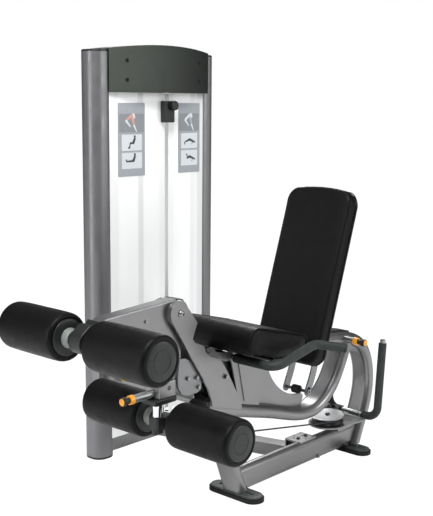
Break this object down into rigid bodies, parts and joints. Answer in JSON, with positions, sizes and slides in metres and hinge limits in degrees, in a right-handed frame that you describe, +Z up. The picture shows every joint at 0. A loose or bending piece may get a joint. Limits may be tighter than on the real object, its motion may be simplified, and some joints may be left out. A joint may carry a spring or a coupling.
{
  "type": "leg extension machine",
  "caption": "Seated leg extension machine with a prone leg curl setting: roller pad lever, padded seat, folding backrest, curved tube frame and a shrouded weight stack tower.",
  "frame": {"origin": "On the floor, on the seat's mid-plane, at the front foot", "axes": "+X from the front foot towards the backrest, +Y from the seat towards the weight tower, +Z up"},
  "size_m": [1.5842, 1.073, 1.602],
  "materials": {
    "rubber_black": "matte moulded rubber",
    "steel_plate": "dark powder coat",
    "frame_paint": "metallic grey powder coat",
    "black_plastic": "moulded black plastic",
    "zinc_steel": "zinc plated steel",
    "chrome": "bright chrome",
    "vinyl_black": "black upholstery vinyl",
    "handle_steel": "plated steel bar",
    "grip_foam": "dark grip foam",
    "orange_plastic": "orange moulded plastic",
    "grey_plastic": "dark grey plastic",
    "weight_iron": "black painted iron",
    "cable_black": "nylon sheathed cable",
    "white_acrylic": "frosted white acrylic",
    "placard_grey": "printed pictogram panel",
    "header_grey": "satin dark grey-green cover"
  },
  "bodies": {
    "frame": {"back_pivot_lugs": "frame_paint", "base_rail": "frame_paint", "crown_beam": "frame_paint", "foot_pads": "rubber_black", "foot_plates": "steel_plate", "frame_bolts": "zinc_steel", "frame_cables": "cable_black", "front_leg": "frame_paint", "front_shrouds": "white_acrylic", "guide_rods": "chrome", "handle_bars": "handle_steel", "handle_grips": "grip_foam", "header_shells": "header_grey", "knee_plates": "frame_paint", "main_spine": "frame_paint", "pivot_axles": "zinc_steel", "placards": "placard_grey", "pulley_brackets": "frame_paint", "rear_arch": "frame_paint", "rear_shroud": "white_acrylic", "resting_plates": "weight_iron", "rubber_stops": "rubber_black", "seat_cushion": "vinyl_black", "seat_gusset": "frame_paint", "seat_pan": "black_plastic", "seat_post": "frame_paint", "tower_base_bars": "frame_paint", "tower_posts": "frame_paint", "tower_tie_beam": "frame_paint", "tube_end_caps": "black_plastic"},
    "lever": {"lever_arm": "frame_paint", "cam_plates": "frame_paint", "lever_bolts": "zinc_steel", "lever_caps": "black_plastic", "upper_axle": "zinc_steel", "pin_housings": "frame_paint"},
    "telescope": {"telescope_tube": "chrome", "telescope_yoke": "black_plastic", "lower_axle": "zinc_steel"},
    "roller_upper_left_body": {"roller_upper_left": "vinyl_black"},
    "roller_upper_right_body": {"roller_upper_right": "vinyl_black"},
    "roller_lower_left_body": {"roller_lower_left": "vinyl_black"},
    "roller_lower_right_body": {"roller_lower_right": "vinyl_black"},
    "telescope_pin_body": {"telescope_pin": "orange_plastic"},
    "start_pin_body": {"start_pin": "grey_plastic"},
    "back_pin_body": {"back_pin": "orange_plastic"},
    "backrest": {"back_cushion": "vinyl_black", "back_board": "black_plastic", "back_arms": "frame_paint", "back_stop_bumper": "rubber_black"},
    "lifted_stack": {"lifted_plates": "weight_iron", "stack_head": "weight_iron", "cable_drop": "cable_black"},
    "weight_pin_body": {"weight_pin": "grey_plastic"},
    "front_pulley_body": {"front_pulley": "black_plastic"},
    "rear_pulley_body": {"rear_pulley": "black_plastic"},
    "idler_pulley_body": {"idler_pulley": "black_plastic"},
    "top_pulley_body": {"top_pulley": "black_plastic"},
    "base_pulley_body": {"base_pulley": "black_plastic"},
    "addon_carriage": {"addon_weight": "black_plastic"}
  },
  "joints": [
    {"name": "lever_swing", "type": "hinge", "parent": "frame", "child": "lever", "pos_m": [-0.341, 0, 0.72], "axis": [0, 1, 0], "range_deg": [0, 110]},
    {"name": "telescope_slide", "type": "slide", "parent": "lever", "child": "telescope", "axis": [0, 0, -1], "range_m": [0, 0.06]},
    {"name": "roller_upper_left_spin", "type": "hinge", "parent": "lever", "child": "roller_upper_left_body", "pos_m": [-0.709, -0.2, 0.687], "axis": [0, 1, 0], "continuous": true},
    {"name": "roller_upper_right_spin", "type": "hinge", "parent": "lever", "child": "roller_upper_right_body", "pos_m": [-0.709, 0.2, 0.687], "axis": [0, 1, 0], "continuous": true},
    {"name": "roller_lower_left_spin", "type": "hinge", "parent": "telescope", "child": "roller_lower_left_body", "pos_m": [-0.374, -0.2, 0.366], "axis": [0, 1, 0], "continuous": true},
    {"name": "roller_lower_right_spin", "type": "hinge", "parent": "telescope", "child": "roller_lower_right_body", "pos_m": [-0.374, 0.2, 0.366], "axis": [0, 1, 0], "continuous": true},
    {"name": "telescope_pin_pull", "type": "slide", "parent": "lever", "child": "telescope_pin_body", "axis": [-1, 0, 0], "range_m": [0, 0.012]},
    {"name": "start_pin_pull", "type": "slide", "parent": "lever", "child": "start_pin_body", "axis": [0, 1, 0], "range_m": [0, 0.012]},
    {"name": "back_pin_pull", "type": "slide", "parent": "frame", "child": "back_pin_body", "axis": [0, -1, 0], "range_m": [0, 0.012]},
    {"name": "backrest_fold", "type": "hinge", "parent": "frame", "child": "backrest", "pos_m": [0.356, 0, 0.522], "axis": [0, 1, 0], "range_deg": [0, 72]},
    {"name": "stack_lift", "type": "slide", "parent": "frame", "child": "lifted_stack", "axis": [0, 0, 1], "range_m": [0, 0.2215], "deforming": ["cable_drop"]},
    {"name": "weight_pin_pull", "type": "slide", "parent": "lifted_stack", "child": "weight_pin_body", "axis": [0, -1, 0], "range_m": [0, 0.12]},
    {"name": "front_pulley_spin", "type": "hinge", "parent": "frame", "child": "front_pulley_body", "pos_m": [-0.126, 0, 0.468], "axis": [0, -1, 0], "range_deg": [0, 160]},
    {"name": "rear_pulley_spin", "type": "hinge", "parent": "frame", "child": "rear_pulley_body", "pos_m": [0.534, 0, 0.155], "axis": [0.0698, 0, -0.9976], "range_deg": [0, 220]},
    {"name": "idler_pulley_spin", "type": "hinge", "parent": "frame", "child": "idler_pulley_body", "pos_m": [0.632, 0.066, 0.153], "axis": [-0.0698, 0, 0.9976], "range_deg": [0, 330]},
    {"name": "top_pulley_spin", "type": "hinge", "parent": "frame", "child": "top_pulley_body", "pos_m": [0.245, 0.689, 1.425], "axis": [-1, 0, 0], "range_deg": [0, 365]},
    {"name": "base_pulley_spin", "type": "hinge", "parent": "frame", "child": "base_pulley_body", "pos_m": [0.26038, 0.69256, 0.13], "axis": [-0.8982, -0.4395, 0], "range_deg": [0, 365]},
    {"name": "addon_slide", "type": "slide", "parent": "frame", "child": "addon_carriage", "axis": [0, 0, -1], "range_m": [0, 0.45]}
  ],
  "couplings": [
    {"joint": "stack_lift", "follows": "lever_swing", "m_per_rad": 0.115},
    {"joint": "front_pulley_spin", "follows": "lever_swing", "ratio": 1.4268},
    {"joint": "rear_pulley_spin", "follows": "lever_swing", "ratio": 1.9625},
    {"joint": "idler_pulley_spin", "follows": "lever_swing", "ratio": 2.9793},
    {"joint": "top_pulley_spin", "follows": "lever_swing", "ratio": 3.267},
    {"joint": "base_pulley_spin", "follows": "lever_swing", "ratio": 3.267}
  ]
}
